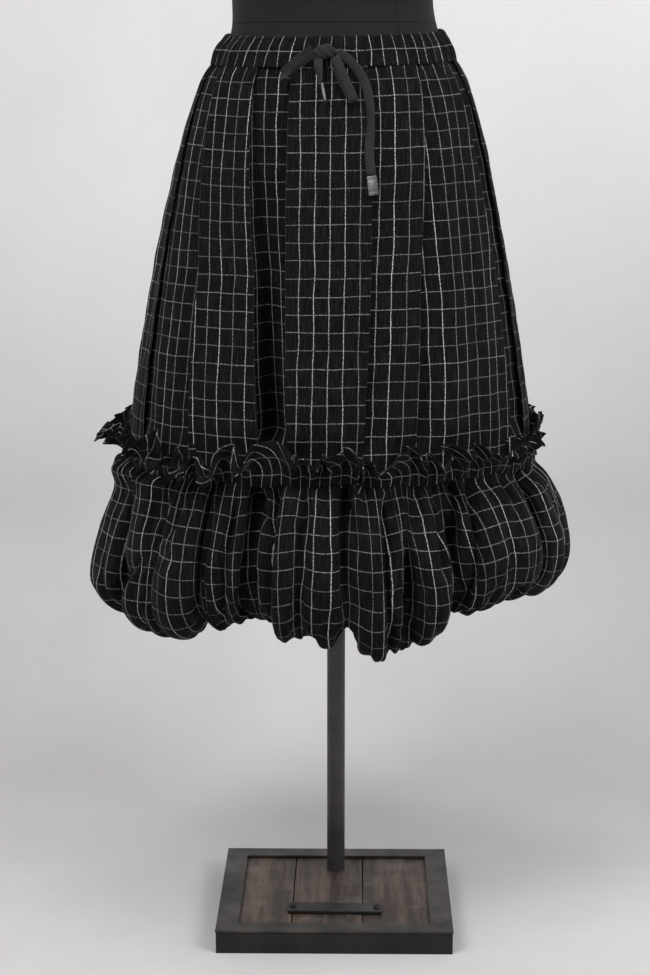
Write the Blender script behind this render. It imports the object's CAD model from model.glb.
# %% [markdown]
# # A checked skirt with a bubble hem, on a dress form
# A gathered skirt hangs on a jersey covered form, which stands on a pole in a square base. The
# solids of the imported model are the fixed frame. This file builds the cloth, the tied tape and
# the stand around them, piece by piece, and gives each its finish.
#
# Angles round the skirt are in degrees from the front, positive to the right. Cloth tables are
# in millimetres, as a pattern is, and `MM` turns them into Blender's metres.

import math

import bmesh
import bpy
import numpy as np
from mathutils import Matrix, Vector


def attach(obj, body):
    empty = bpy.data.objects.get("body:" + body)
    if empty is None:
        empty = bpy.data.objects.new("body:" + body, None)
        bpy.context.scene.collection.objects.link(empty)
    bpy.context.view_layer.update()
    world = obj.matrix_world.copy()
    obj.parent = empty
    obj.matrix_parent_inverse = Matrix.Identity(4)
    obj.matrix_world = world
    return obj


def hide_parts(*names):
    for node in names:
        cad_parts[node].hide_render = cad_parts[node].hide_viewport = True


MM = 0.001

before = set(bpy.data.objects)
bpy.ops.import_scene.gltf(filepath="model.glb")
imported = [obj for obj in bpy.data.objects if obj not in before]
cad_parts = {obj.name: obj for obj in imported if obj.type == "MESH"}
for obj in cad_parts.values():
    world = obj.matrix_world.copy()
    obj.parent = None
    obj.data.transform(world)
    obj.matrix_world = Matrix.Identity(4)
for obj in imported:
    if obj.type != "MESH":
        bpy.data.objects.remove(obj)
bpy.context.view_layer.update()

# %% [markdown]
# ## The camera
# It stands 2.6 m in front, a little above the waist, and looks down by 11 degrees. A long lens
# keeps the base square. The direction is turned into a rotation by `to_track_quat`, which is
# easier to read than three Euler angles.

# %% Camera
CAMERA_PLACE = Vector((0.0234, -2.6262, 1.0085))
CAMERA_YAW = math.radians(-0.806)
CAMERA_PITCH = math.radians(10.788)

lens = bpy.data.cameras.new("studio_camera")
lens.sensor_fit = "VERTICAL"
lens.sensor_height = 36
lens.lens = 81.9
camera = bpy.data.objects.new("studio_camera", lens)
bpy.context.scene.collection.objects.link(camera)
bpy.context.scene.camera = camera
looks_along = Vector((
    math.sin(CAMERA_YAW) * math.cos(CAMERA_PITCH),
    math.cos(CAMERA_YAW) * math.cos(CAMERA_PITCH),
    -math.sin(CAMERA_PITCH),
))
camera.location = CAMERA_PLACE
camera.rotation_euler = looks_along.to_track_quat("-Z", "Y").to_euler()
print("camera looks along", [round(x, 3) for x in looks_along])

# %% [markdown]
# ## Small helpers for node materials
# A material is a chain of small steps. These helpers add one node each and wire its inputs, so
# that a finish below reads from its pattern to its shader. A number that is the same all over
# is set on the shader itself, because an exported model keeps it only there.

# %% Node helpers
def new_material(name):
    material = bpy.data.materials.new(name)
    material.use_nodes = True
    return material, material.node_tree, material.node_tree.nodes["Principled BSDF"]


def step(tree, kind, settings=None, **inputs):
    """Adds a node. An input is a socket or a plain value; in_0 is the first input."""
    made = tree.nodes.new("ShaderNode" + kind)
    for name, value in (settings or {}).items():
        setattr(made, name, value)
    for name, value in inputs.items():
        socket = made.inputs[int(name[3:]) if name.startswith("in_") else name]
        if isinstance(value, bpy.types.NodeSocket):
            tree.links.new(value, socket)
        else:
            socket.default_value = value
    return made


def maths(tree, operation, first, second=0.0, third=0.0):
    return step(tree, "Math", {"operation": operation}, in_0=first, in_1=second, in_2=third).outputs[0]


def noise(tree, place, scale, detail=2.0, roughness=0.5):
    return step(tree, "TexNoise", None, Vector=place, Scale=scale, Detail=detail,
                Roughness=roughness).outputs["Fac"]


def between(tree, value, low, high, to_low=0.0, to_high=1.0):
    """Maps low..high of a pattern to to_low..to_high, clamped."""
    settings = {"interpolation_type": "SMOOTHSTEP"}
    return step(tree, "MapRange", settings, in_0=value, in_1=low, in_2=high, in_3=to_low,
                in_4=to_high).outputs[0]


def blend_colours(tree, share, first, second):
    made = step(tree, "Mix", {"data_type": "RGBA"})
    for socket, value in ((made.inputs[0], share), (made.inputs[6], first), (made.inputs[7], second)):
        if isinstance(value, bpy.types.NodeSocket):
            tree.links.new(value, socket)
        else:
            socket.default_value = value
    return made.outputs[2]


def bump(tree, height, distance, strength=1.0):
    return step(tree, "Bump", None, Height=height, Distance=distance, Strength=strength).outputs["Normal"]


print("node helpers are ready")

# %% [markdown]
# ## Checked seersucker
# The cloth is black cotton with an off-white windowpane check of single thick threads, and a
# fine crinkle of ribs down its length. The pattern has to follow the cloth through its folds,
# so it reads the cloth's own UV map, which counts metres along the weft and the warp.
# A line is where the distance to the nearest repeat is under half a thread. Slow noise makes it
# waver, quick noise breaks it into stitches, and a random value for each line makes one
# brighter than the next.

# %% Cloth material
CHECK_WIDE = 0.0170
CHECK_HIGH = 0.0200
THREAD_HALF = 0.00047
GROUND = (0.0027, 0.0027, 0.0037, 1)
GROUND_WORN = (0.0126, 0.0126, 0.0154, 1)
THREAD = (0.53, 0.52, 0.51, 1)


def check_lines(tree, along, across, repeat, waver, dullest, seed):
    """How much of a thread shows: lines across `across`, running along `along`, 0 to 1."""
    moved = maths(tree, "ADD", waver, across)
    count = maths(tree, "DIVIDE", moved, repeat)
    number = maths(tree, "ROUND", count)
    away = maths(tree, "ABSOLUTE", maths(tree, "SUBTRACT", count, number))
    away = maths(tree, "MULTIPLY", away, repeat)
    line = between(tree, away, THREAD_HALF * 0.55, THREAD_HALF * 1.35, 1.0, 0.0)
    stitch_place = step(tree, "CombineXYZ", None, X=along, Y=number).outputs[0]
    stitches = noise(tree, stitch_place, 420, 1.0)
    stitches = between(tree, stitches, 0.36, 0.56, 0.28, 1.0)
    shade = step(tree, "TexWhiteNoise", {"noise_dimensions": "1D"},
                 W=maths(tree, "ADD", number, seed)).outputs["Value"]
    shade = between(tree, shade, 0.15, 0.95, dullest, 1.0)
    patches = between(tree, noise(tree, stitch_place, 24, 1.0), 0.3, 0.6, 0.6, 1.0)
    return maths(tree, "MULTIPLY", maths(tree, "MULTIPLY", line, stitches),
                 maths(tree, "MULTIPLY", shade, patches))


def checked_cloth():
    material, tree, shader = new_material("checked_seersucker")
    cloth = step(tree, "UVMap", {"uv_map": "cloth"}).outputs[0]
    parts = step(tree, "SeparateXYZ", None, Vector=cloth)
    weft, warp = parts.outputs[0], parts.outputs[1]
    slow = maths(tree, "SUBTRACT", noise(tree, cloth, 17, 1.0), 0.5)
    quick = maths(tree, "SUBTRACT", noise(tree, cloth, 130, 1.0), 0.5)
    waver = maths(tree, "MULTIPLY_ADD", slow, 0.0042, maths(tree, "MULTIPLY", quick, 0.0011))
    down = check_lines(tree, warp, weft, CHECK_WIDE, waver, 0.35, 3.0)
    sideways = check_lines(tree, weft, warp, CHECK_HIGH, waver, 0.55, 57.0)
    sideways = maths(tree, "MULTIPLY", sideways, 0.42)
    thread = maths(tree, "MAXIMUM", down, sideways)
    rib_place = step(tree, "Mapping", None, Vector=cloth, Scale=(640, 46, 1)).outputs[0]
    ribs = noise(tree, rib_place, 1.0, 2.0)
    weave = noise(tree, cloth, 1500, 1.0)
    worn = maths(tree, "MULTIPLY", between(tree, ribs, 0.42, 0.72), between(tree, weave, 0.3, 0.7, 0.5, 1.0))
    ground = blend_colours(tree, worn, GROUND, GROUND_WORN)
    colour = blend_colours(tree, thread, ground, THREAD)
    tree.links.new(colour, shader.inputs["Base Color"])
    height = maths(tree, "ADD", maths(tree, "MULTIPLY", ribs, 1.0), maths(tree, "MULTIPLY", thread, 0.35))
    tree.links.new(bump(tree, height, 0.0011, 0.75), shader.inputs["Normal"])
    shader.inputs["Roughness"].default_value = 0.88
    shader.inputs["Specular IOR Level"].default_value = 0.08
    shader.inputs["Sheen Weight"].default_value = 0.015
    shader.inputs["Sheen Roughness"].default_value = 0.5
    return material


CLOTH = checked_cloth()
print("a check of", CHECK_WIDE / MM, "by", CHECK_HIGH / MM, "mm")

# %% [markdown]
# ## Tape, jersey, metal and wood
# The tape is woven cotton, and its fine cross ribs follow its length by UV. The jersey cover of
# the form, the paint and the steel have no direction to follow, so they read Object
# coordinates. The wood's grain runs from front to back: a noise stretched along Y, with darker
# pores and a worn, lighter bloom.

# %% Other materials
def object_place(tree):
    return step(tree, "TexCoord").outputs["Object"]


def tape_cotton():
    material, tree, shader = new_material("tape_cotton")
    tape = step(tree, "UVMap", {"uv_map": "cloth"}).outputs[0]
    parts = step(tree, "SeparateXYZ", None, Vector=tape)
    ribs = maths(tree, "SINE", maths(tree, "MULTIPLY", parts.outputs[1], 2 * math.pi / 0.0011))
    fluff = noise(tree, object_place(tree), 900, 2.0)
    shade = maths(tree, "MULTIPLY_ADD", ribs, 0.18, fluff)
    colour = blend_colours(tree, between(tree, shade, 0.2, 0.9), (0.0045, 0.0045, 0.0048, 1), (0.0115, 0.0115, 0.0118, 1))
    tree.links.new(colour, shader.inputs["Base Color"])
    tree.links.new(bump(tree, shade, 0.0003, 0.6), shader.inputs["Normal"])
    shader.inputs["Roughness"].default_value = 0.9
    shader.inputs["Sheen Weight"].default_value = 0.05
    return material


def jersey():
    material, tree, shader = new_material("form_jersey")
    place = object_place(tree)
    knit_place = step(tree, "Mapping", None, Vector=place, Scale=(1, 1, 0.45)).outputs[0]
    knit = noise(tree, knit_place, 1300, 1.0)
    cloudy = noise(tree, place, 9, 3.0)
    shade = maths(tree, "MULTIPLY_ADD", cloudy, 0.5, maths(tree, "MULTIPLY", knit, 0.5))
    colour = blend_colours(tree, between(tree, shade, 0.3, 0.7), (0.0078, 0.0078, 0.0081, 1), (0.0125, 0.0124, 0.0127, 1))
    tree.links.new(colour, shader.inputs["Base Color"])
    tree.links.new(bump(tree, knit, 0.0004, 0.5), shader.inputs["Normal"])
    shader.inputs["Roughness"].default_value = 0.92
    shader.inputs["Specular IOR Level"].default_value = 0.3
    shader.inputs["Sheen Weight"].default_value = 0.03
    return material


def coated_metal(name, dark, light, roughness, metallic, grain=160):
    """Paint or a waxed skin on metal: cloudy, with fine scratches in its gloss."""
    material, tree, shader = new_material(name)
    place = object_place(tree)
    cloudy = noise(tree, place, grain / 8, 4.0, 0.6)
    fine = noise(tree, place, grain * 4, 2.0)
    shade = maths(tree, "MULTIPLY_ADD", fine, 0.3, maths(tree, "MULTIPLY", cloudy, 0.7))
    colour = blend_colours(tree, between(tree, shade, 0.32, 0.68), dark, light)
    tree.links.new(colour, shader.inputs["Base Color"])
    gloss = between(tree, shade, 0.3, 0.7, roughness + 0.08, roughness - 0.08)
    tree.links.new(gloss, shader.inputs["Roughness"])
    tree.links.new(bump(tree, fine, 0.0002, 0.35), shader.inputs["Normal"])
    shader.inputs["Metallic"].default_value = metallic
    return material


def stained_wood():
    material, tree, shader = new_material("stained_wood")
    place = object_place(tree)
    grain_place = step(tree, "Mapping", None, Vector=place, Scale=(60, 4.5, 60)).outputs[0]
    grain = noise(tree, grain_place, 1.0, 5.0, 0.65)
    pore_place = step(tree, "Mapping", None, Vector=place, Scale=(700, 38, 700)).outputs[0]
    pores = noise(tree, pore_place, 1.0, 2.0)
    bloom = noise(tree, place, 26, 4.0, 0.6)
    colour = blend_colours(tree, between(tree, grain, 0.36, 0.64), (0.030, 0.019, 0.014, 1), (0.098, 0.069, 0.053, 1))
    colour = blend_colours(tree, between(tree, bloom, 0.5, 0.75, 0.0, 0.45), colour, (0.16, 0.135, 0.12, 1))
    colour = blend_colours(tree, between(tree, pores, 0.56, 0.68, 0.0, 0.7), colour, (0.014, 0.010, 0.008, 1))
    tree.links.new(colour, shader.inputs["Base Color"])
    height = maths(tree, "MULTIPLY_ADD", pores, -0.6, grain)
    tree.links.new(bump(tree, height, 0.0012, 0.6), shader.inputs["Normal"])
    shader.inputs["Roughness"].default_value = 0.62
    return material


TAPE = tape_cotton()
JERSEY = jersey()
POLE_PAINT = coated_metal("pole_paint", (0.035, 0.033, 0.0315, 1), (0.066, 0.061, 0.058, 1), 0.42, 0.3)
FRAME_STEEL = coated_metal("waxed_steel", (0.022, 0.020, 0.018, 1), (0.062, 0.056, 0.050, 1), 0.5, 0.55)
TRAY_STEEL = coated_metal("tray_steel", (0.0075, 0.0072, 0.0068, 1), (0.018, 0.0168, 0.0155, 1), 0.5, 0.4)
TIP_METAL = coated_metal("tip_metal", (0.075, 0.075, 0.078, 1), (0.14, 0.14, 0.145, 1), 0.42, 0.8, 600)
WOOD = stained_wood()
print("materials:", [m.name for m in bpy.data.materials])

# %% [markdown]
# ## Making pieces
# Every piece ends the same way: a mesh at the origin, a finish, the body that it rides on and
# the solids it stands for. A length of cloth starts as a flat bmesh grid, like cloth on a
# table. Its points are then moved to where a formula hangs them, and its UV map keeps the
# place of each point in the flat cloth.

# %% Piece helpers
def keep_mesh(name, mesh, material, slot, *nodes):
    piece = bpy.data.objects.new(name, mesh)
    bpy.context.scene.collection.objects.link(piece)
    piece.data.materials.append(material)
    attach(piece, "root")
    if nodes:
        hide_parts(*nodes)
    return piece


def keep_bmesh(name, bm, material, slot, *nodes, smooth=True):
    bmesh.ops.recalc_face_normals(bm, faces=bm.faces)
    mesh = bpy.data.meshes.new(name)
    bm.to_mesh(mesh)
    bm.free()
    mesh.shade_smooth() if smooth else mesh.shade_flat()
    return keep_mesh(name, mesh, material, slot, *nodes)


def cloth_mesh(name, points, cloth_place, closed=False):
    """points[column, row] in metres, columns to the right and rows down, and their UV."""
    columns, rows = points.shape[:2]
    bm = bmesh.new()
    bmesh.ops.create_grid(bm, x_segments=columns - 1, y_segments=rows - 1, size=1)
    mesh = bpy.data.meshes.new(name)
    bm.to_mesh(mesh)
    bm.free()
    flat = np.empty(len(mesh.vertices) * 3)
    mesh.vertices.foreach_get("co", flat)
    flat = flat.reshape(-1, 3)
    column = np.rint((flat[:, 0] + 1) / 2 * (columns - 1)).astype(int)
    row = np.rint((1 - flat[:, 1]) / 2 * (rows - 1)).astype(int)
    mesh.vertices.foreach_set("co", points[column, row].ravel())
    corner = np.empty(len(mesh.loops), int)
    mesh.loops.foreach_get("vertex_index", corner)
    layer = mesh.uv_layers.new(name="cloth")
    layer.data.foreach_set("uv", cloth_place[column[corner], row[corner]].ravel())
    if closed:
        bm = bmesh.new()
        bm.from_mesh(mesh)
        bmesh.ops.remove_doubles(bm, verts=bm.verts, dist=1e-6)
        bm.to_mesh(mesh)
        bm.free()
    mesh.shade_smooth()
    return mesh


def give_wall(piece, thickness):
    """Cloth thickness, inwards from the modelled face."""
    wall = piece.modifiers.new("cloth_wall", "SOLIDIFY")
    wall.thickness = thickness
    wall.offset = -1
    return piece


def cloth_area(piece):
    return sum(face.area for face in piece.data.polygons)


CLOTH_WALL = 0.8 * MM
print("cloth is", CLOTH_WALL / MM, "mm thick")

# %% [markdown]
# ## The drawstring
# One tape runs in the band's casing and is tied in a bow. Its loops and ends are cords here:
# each follows a hand-set route, with the direction of the tape's width given along it. The
# section is a circle pressed flat, extruded ring by ring along a smooth curve.
# Left loop and short end are one stretch of tape that passes behind the knot.

# %% Routes of the tape, in metres
TAPE_WIDE = 0.0105
TAPE_THICK = 0.0014
LOOP_LEFT_AND_SHORT_END = [
    (-0.0264, -0.1128, 1.0255), (-0.0325, -0.1162, 1.0215), (-0.040, -0.1188, 1.016),
    (-0.048, -0.1205, 1.009), (-0.055, -0.1218, 1.002), (-0.0595, -0.1214, 0.9965),
    (-0.0608, -0.1186, 0.995), (-0.0575, -0.116, 0.9985), (-0.049, -0.1138, 1.005),
    (-0.041, -0.1124, 1.0105), (-0.034, -0.1114, 1.015), (-0.029, -0.1108, 1.0185),
    (-0.0235, -0.1106, 1.0205), (-0.0196, -0.1108, 1.0185), (-0.0195, -0.1116, 1.0146),
    (-0.0194, -0.1152, 1.0095), (-0.0187, -0.1186, 1.004), (-0.0176, -0.122, 0.998),
    (-0.0163, -0.1255, 0.992), (-0.0152, -0.1288, 0.9865),
]
LOOP_LEFT_WIDTHS = [(0.0, (0.42, 0, 0.9)), (0.6, (0.42, 0, 0.9)), (0.76, (0.95, 0, 0.3)), (1.0, (0.12, -0.99, 0))]
LOOP_RIGHT = [
    (-0.001, -0.1182, 1.017), (0.0025, -0.1215, 1.010), (0.007, -0.1245, 1.000), (0.012, -0.1275, 0.989),
    (0.0165, -0.131, 0.979), (0.0195, -0.133, 0.972), (0.020, -0.1318, 0.969), (0.0175, -0.1285, 0.9725),
    (0.0125, -0.1235, 0.982), (0.008, -0.1195, 0.991), (0.004, -0.116, 1.000), (0.0005, -0.1136, 1.008),
]
LOOP_RIGHT_WIDTHS = [(0.0, (0.87, 0, 0.42)), (1.0, (0.87, 0, 0.42))]
LONG_END = [
    (0.0017, -0.1108, 1.0226), (0.011, -0.113, 1.0166), (0.021, -0.116, 1.0074), (0.029, -0.1195, 0.996),
    (0.034, -0.124, 0.985), (0.037, -0.129, 0.972), (0.0388, -0.1335, 0.958), (0.0392, -0.139, 0.940),
    (0.0376, -0.1445, 0.920), (0.0382, -0.1495, 0.903), (0.0400, -0.154, 0.888),
]
LONG_END_WIDTHS = [(0.0, (0.62, 0, 0.78)), (0.35, (0.9, -0.3, 0)), (0.62, (0.76, -0.65, 0)), (0.82, (1, 0.1, 0)),
                   (1.0, (1, -0.2, 0))]


def smooth_route(points, steps):
    """Even points on a smooth curve through the given ones."""
    given = np.array(points)
    knots = np.concatenate([[0], np.cumsum(np.linalg.norm(np.diff(given, axis=0), axis=1) ** 0.5)])
    fine = np.linspace(0, knots[-1], 40 * len(points))
    rows = [np.column_stack([knots, given[:, axis]]) for axis in range(3)]
    curve = np.column_stack([smooth_column(row, 1, fine) for row in rows])
    run = np.concatenate([[0], np.cumsum(np.linalg.norm(np.diff(curve, axis=0), axis=1))])
    even = np.linspace(0, run[-1], steps + 1)
    return np.column_stack([np.interp(even, run, curve[:, axis]) for axis in range(3)]), run[-1]


def smooth_column(rows, column, places):
    """A smooth value of one column of a table, read by its first column."""
    rows = rows[np.argsort(rows[:, 0])]
    known, value = rows[:, 0], rows[:, column]
    last = len(known) - 1
    index = np.arange(last + 1)
    before, after = np.maximum(index - 1, 0), np.minimum(index + 1, last)
    slope = (value[after] - value[before]) / (known[after] - known[before])
    i = np.clip(np.searchsorted(known, places, side="right") - 1, 0, last - 1)
    span = known[i + 1] - known[i]
    t = np.clip((places - known[i]) / span, 0, 1)
    return ((2 * t**3 - 3 * t**2 + 1) * value[i] + (t**3 - 2 * t**2 + t) * span * slope[i]
            + (3 * t**2 - 2 * t**3) * value[i + 1] + (t**3 - t**2) * span * slope[i + 1])


def tape_frames(line, widths):
    """For each point of a route: along, across and out of the tape's face."""
    shares = np.linspace(0, 1, len(line))
    along = np.gradient(line, axis=0)
    along /= np.linalg.norm(along, axis=1)[:, None]
    stations = [share for share, _ in widths]
    across = np.column_stack([np.interp(shares, stations, [w[axis] for _, w in widths]) for axis in range(3)])
    across -= along * np.sum(across * along, axis=1)[:, None]
    across /= np.linalg.norm(across, axis=1)[:, None]
    return along, across, np.cross(along, across)


def tape_piece(name, route, widths, steps, *nodes):
    line, length = smooth_route(route, steps)
    along, across, face = tape_frames(line, widths)
    bm = bmesh.new()
    ring = bmesh.ops.create_circle(bm, segments=16, radius=1)["verts"]
    corners = np.array([vert.co[:2] for vert in ring])
    pressed = np.sign(corners) * np.abs(corners) ** np.array([0.55, 0.8])
    pressed[:, 0] *= TAPE_WIDE / 2
    dish = 0.0007 * (1 - (pressed[:, 0] / (TAPE_WIDE / 2)) ** 2)
    pressed[:, 1] = pressed[:, 1] * TAPE_THICK / 2 + dish

    def put(verts, k):
        for vert, (x, y) in zip(verts, pressed):
            vert.co = Vector(line[k] + across[k] * x + face[k] * y)

    put(ring, 0)
    edges = bm.edges[:]
    bmesh.ops.contextual_create(bm, geom=edges)
    for k in range(1, len(line)):
        grown = bmesh.ops.extrude_edge_only(bm, edges=edges)["geom"]
        edges = [item for item in grown if isinstance(item, bmesh.types.BMEdge)
                 and all(vert in grown for vert in item.verts)]
        verts = [item for item in grown if isinstance(item, bmesh.types.BMVert)]
        put(verts, k)
    bmesh.ops.contextual_create(bm, geom=edges)
    layer = bm.loops.layers.uv.new("cloth")
    for face_ in bm.faces:
        for loop in face_.loops:
            nearest = int(np.argmin(np.sum((line - np.array(loop.vert.co)) ** 2, axis=1)))
            sideways = float(np.dot(np.array(loop.vert.co) - line[nearest], across[nearest]))
            loop[layer].uv = (sideways, nearest * length / steps)
    piece = keep_bmesh(name, bm, TAPE, "drawstring_tape", *nodes)
    return piece, line, length


left_tape, left_line, left_length = tape_piece(
    "bow_left_loop_and_short_end", LOOP_LEFT_AND_SHORT_END, LOOP_LEFT_WIDTHS, 64, "loop_left", "tail_short")
right_tape, right_line, right_length = tape_piece(
    "bow_right_loop", LOOP_RIGHT, LOOP_RIGHT_WIDTHS, 44, "loop_right")
long_tape, long_line, long_length = tape_piece(
    "bow_long_end", LONG_END, LONG_END_WIDTHS, 44, "tail_long")
print("tape lengths in mm:", [round(x / MM, 1) for x in (left_length, right_length, long_length)])

# %% [markdown]
# ## Metal ends
# A strip of dull nickel is folded over each end of the tape and pressed. A cube scaled to the
# strip is cut by loops near its mouth, pressed a little thinner there, and its edges bevelled.

# %% Metal ends
TIP_LONG = 22 * MM
TIP_WIDE = 11 * MM
TIP_THICK = 2.8 * MM


def tip_piece(name, line, widths, node):
    along, across, face = (vectors[-1] for vectors in tape_frames(line, widths))
    bm = bmesh.new()
    bmesh.ops.create_cube(bm, size=1)
    bmesh.ops.subdivide_edges(bm, edges=[e for e in bm.edges if abs(e.verts[0].co.z - e.verts[1].co.z) > 0.5],
                              cuts=5, use_grid_fill=True)
    for vert in bm.verts:
        pressed = 0.78 if 0.2 < vert.co.z < 0.45 or -0.45 < vert.co.z < -0.2 else 1.0
        vert.co = Vector((vert.co.x * TIP_WIDE, vert.co.y * TIP_THICK * pressed, vert.co.z * TIP_LONG))
    bmesh.ops.bevel(bm, geom=bm.edges[:], offset=0.35 * MM, segments=2, profile=0.5, affect="EDGES", material=-1,
                    clamp_overlap=True)
    centre = line[-1] + along * (TIP_LONG / 2 + 0.3 * MM)
    turn = Matrix((across, face, along)).transposed()
    bmesh.ops.transform(bm, matrix=Matrix.Translation(Vector(centre)) @ turn.to_4x4(), verts=bm.verts)
    return keep_bmesh(name, bm, TIP_METAL, "tip_metal", node)


short_tip = tip_piece("tip_short_end", left_line, LOOP_LEFT_WIDTHS, "tip_short")
long_tip = tip_piece("tip_long_end", long_line, LONG_END_WIDTHS, "tip_long")

print("three stretches of tape are declared")

# %% [markdown]
# ## The knot
# Where the tape wraps round itself it makes a small tight bundle. A UV sphere squashed to the
# knot's size is enough once its surface is pressed into three slanting folds, which follow the
# tape as it goes round.

# %% Knot
KNOT_CENTRE = Vector((-0.012, -0.1104, 1.023))
KNOT_HALF = Vector((0.0125, 0.005, 0.008))


def knot_piece():
    bm = bmesh.new()
    bmesh.ops.create_uvsphere(bm, u_segments=64, v_segments=40, radius=1)
    for vert in bm.verts:
        slant = vert.co.x * 0.9 + vert.co.z * 0.75
        fold = 0.07 * math.cos(slant * 7.5) - 0.1 * math.exp(-((vert.co.x - 0.62) / 0.1) ** 2)
        fold -= 0.1 * math.exp(-((vert.co.x + 0.6 - 0.2 * vert.co.z) / 0.1) ** 2)
        squared = Vector([math.copysign(abs(c) ** 0.86, c) for c in vert.co]) * (1 + fold)
        vert.co = KNOT_CENTRE + Vector([squared[axis] * KNOT_HALF[axis] for axis in range(3)])
    layer = bm.loops.layers.uv.new("cloth")
    for face in bm.faces:
        for loop in face.loops:
            loop[layer].uv = (loop.vert.co.z, loop.vert.co.x)
    return keep_bmesh("bow_knot", bm, TAPE, "drawstring_tape", "drawstring_knot")


knot = knot_piece()
print("knot:", len(knot.data.polygons), "faces")

# %% [markdown]
# ## The skirt's form
# A table of ellipses gives the skirt's outer surface, one row a height. Fold lines of the body
# are given by their angle at the waist, halfway and at the tier seam. `over` names the side
# whose cloth lies on top, and the tucks say how far the other side goes in.

# %% Tables of the skirt, in millimetres and degrees
BAND_TOP, BAND_BOTTOM = 1039, 1007
TIER_SEAM, FRILL_TOP = 550, 600
BACK_LIFT, RIGHT_LIFT = 12, 2.5
SKIRT_SECTIONS = np.array([  # height, half width, half depth, centre
    (1056, 120.5, 94, -1), (1039, 128.8, 96.5, -1), (1027, 136.5, 101.5, -2), (1007, 145.5, 110, -2.5),
    (990, 155, 118, -3), (957, 166, 131, -3.5), (911, 178.8, 146, -4), (864, 189.5, 158, -5),
    (794, 204.5, 174.5, -6), (723, 218, 191, -6.5), (651, 230, 206, -7), (600, 237, 214.5, -7),
    (550, 243, 222, -7),
], float)
BODY_FOLDS = [  # waist, middle, bottom, over, tuck at the top, tuck at the bottom
    (-90, -90, -90, "none", 0, 0), (-76, -68, -64, "left", 1.5, 6), (-60, -45, -40.5, "right", 2, 7),
    (-36, -23.8, -18.3, "left", 2, 58), (-18, -13.2, -10.4, "right", 3.5, 26),
    (15.2, 12.6, 8.5, "left", 2.5, 9), (40.3, 28.8, 22.8, "left", 2.5, 12), (64, 64.5, 59.5, "left", 2, 9),
    (75, 75, 70, "right", 1.5, 7), (90, 90, 90, "none", 0, 0), (105, 105, 104, "left", 2, 8),
    (127, 126, 124, "right", 2, 9), (144, 149, 151, "left", 2.5, 48), (162, 161, 160, "right", 2.5, 24),
    (194, 191, 188, "left", 2.5, 9), (220, 215, 210, "left", 2, 12), (240, 237, 233, "right", 2, 8),
    (256, 255, 252, "left", 1.5, 7), (270, 270, 270, "none", 0, 0),
]
EDGE_RAISE, RAISE_REACH, TUCK_REACH = 2.5, 16, 42
SEAM_DIPS = [(-13, 8, 10), (31, 4, 10), (155.5, 6, 11), (215, 4, 10)]  # angle, depth, spread


def fall(distance, reach):
    """1 at distance 0, easing to 0 at reach."""
    return (1 + np.cos(np.pi * np.clip(np.abs(distance) / reach, 0, 1))) / 2


def ease(value, low, high):
    t = np.clip((value - low) / (high - low), 0, 1)
    return t * t * (3 - 2 * t)


def waist_lift(angle):
    turn = np.radians(angle)
    return BACK_LIFT * (1 - np.cos(turn)) / 2 + RIGHT_LIFT * np.sin(turn)


def on_ellipse(half_width, half_depth, centre, angle, height, outwards):
    """Points on ellipses, moved out along their normals. All arguments may be arrays."""
    sine, cosine = np.sin(np.radians(angle)), np.cos(np.radians(angle))
    out_x, out_y = half_depth * sine, -half_width * cosine
    size = np.hypot(out_x, out_y)
    return np.stack([
        centre + half_width * sine + outwards * out_x / size,
        -half_depth * cosine + outwards * out_y / size,
        np.broadcast_to(height, np.shape(size)).astype(float),
    ], axis=-1)


def on_skirt(angle, height, outwards):
    sizes = [smooth_column(SKIRT_SECTIONS, column, height) for column in (1, 2, 3)]
    return on_ellipse(*sizes, angle, height, outwards)


def millimetres_per_degree(angle, height):
    half_width, half_depth = (smooth_column(SKIRT_SECTIONS, column, height) for column in (1, 2))
    turn = np.radians(angle)
    return np.hypot(half_width * np.cos(turn), half_depth * np.sin(turn)) * math.pi / 180


def seam_dip(angle):
    return -sum(depth * fall(angle - at, 2 * spread) for at, depth, spread in SEAM_DIPS)


def distance_down(points):
    """Running distance along the rows of each column."""
    steps = np.linalg.norm(np.diff(points, axis=1), axis=2)
    return np.concatenate([np.zeros((len(points), 1)), np.cumsum(steps, axis=1)], axis=1)


def distance_right(points):
    return distance_down(points.swapaxes(0, 1)).swapaxes(0, 1)


print("the body hangs", BAND_BOTTOM - TIER_SEAM, "mm from band to tier seam")

# %% [markdown]
# ## The body of the skirt
# Front and back are flat panels joined by soft pleats. At a pleat the cloth turns under its
# own edge, runs back, and turns again, so it is in three layers there. The grid has extra
# columns for that S, and the pattern's hidden part is taken up in the layer that runs back,
# because the pleats open towards the hem and show more cloth there.

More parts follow.
